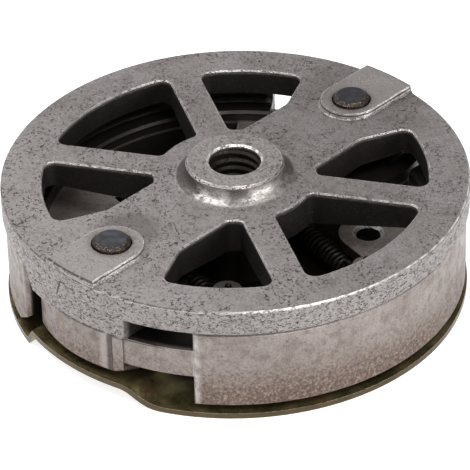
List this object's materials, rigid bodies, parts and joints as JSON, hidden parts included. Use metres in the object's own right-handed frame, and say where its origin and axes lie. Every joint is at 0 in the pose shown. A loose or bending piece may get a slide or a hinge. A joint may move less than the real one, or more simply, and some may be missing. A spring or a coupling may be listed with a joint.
{
  "type": "centrifugal clutch",
  "caption": "Dry centrifugal clutch: spoked sintered disc with threaded hub, two pivoting steel shoes, tension springs and a pressed base plate.",
  "frame": {"origin": "on the shaft axis, at the underside of the base plate's low flange, on which the clutch rests", "axes": "+Z along the shaft axis out of the threaded hub; both shoe pivots lie on the X axis, the front one at -X"},
  "size_m": [0.076, 0.076, 0.0234],
  "materials": {
    "sintered_steel": "sintered, pitted, worn bright at the edges",
    "shoe_steel": "smooth sintered steel, slightly mottled",
    "pin_steel": "dark, blued",
    "yellow_zinc": "yellow zinc plated sheet",
    "spring_steel": "drawn spring wire",
    "washer_steel": "plain steel"
  },
  "bodies": {
    "carrier_body": {"carrier": "sintered_steel", "front_pivot_pin": "pin_steel", "rear_pivot_pin": "pin_steel", "base_plate": "yellow_zinc", "front_washer": "washer_steel", "rear_washer": "washer_steel"},
    "front_shoe_body": {"front_shoe": "shoe_steel", "front_spring": "spring_steel"},
    "rear_shoe_body": {"rear_shoe": "shoe_steel", "rear_spring": "spring_steel"}
  },
  "joints": [
    {"name": "front_shoe_swing", "type": "hinge", "parent": "carrier_body", "child": "front_shoe_body", "pos_m": [-0.028, 0, 0.009], "axis": [0, 0, -1], "range_deg": [0, 4], "stiffness_Nm_per_rad": 6, "springref_deg": -17.19, "deforming": ["front_spring"]},
    {"name": "rear_shoe_swing", "type": "hinge", "parent": "carrier_body", "child": "rear_shoe_body", "pos_m": [0.028, 0, 0.009], "axis": [0, 0, -1], "range_deg": [0, 4], "stiffness_Nm_per_rad": 6, "springref_deg": -17.19, "deforming": ["rear_spring"]}
  ]
}
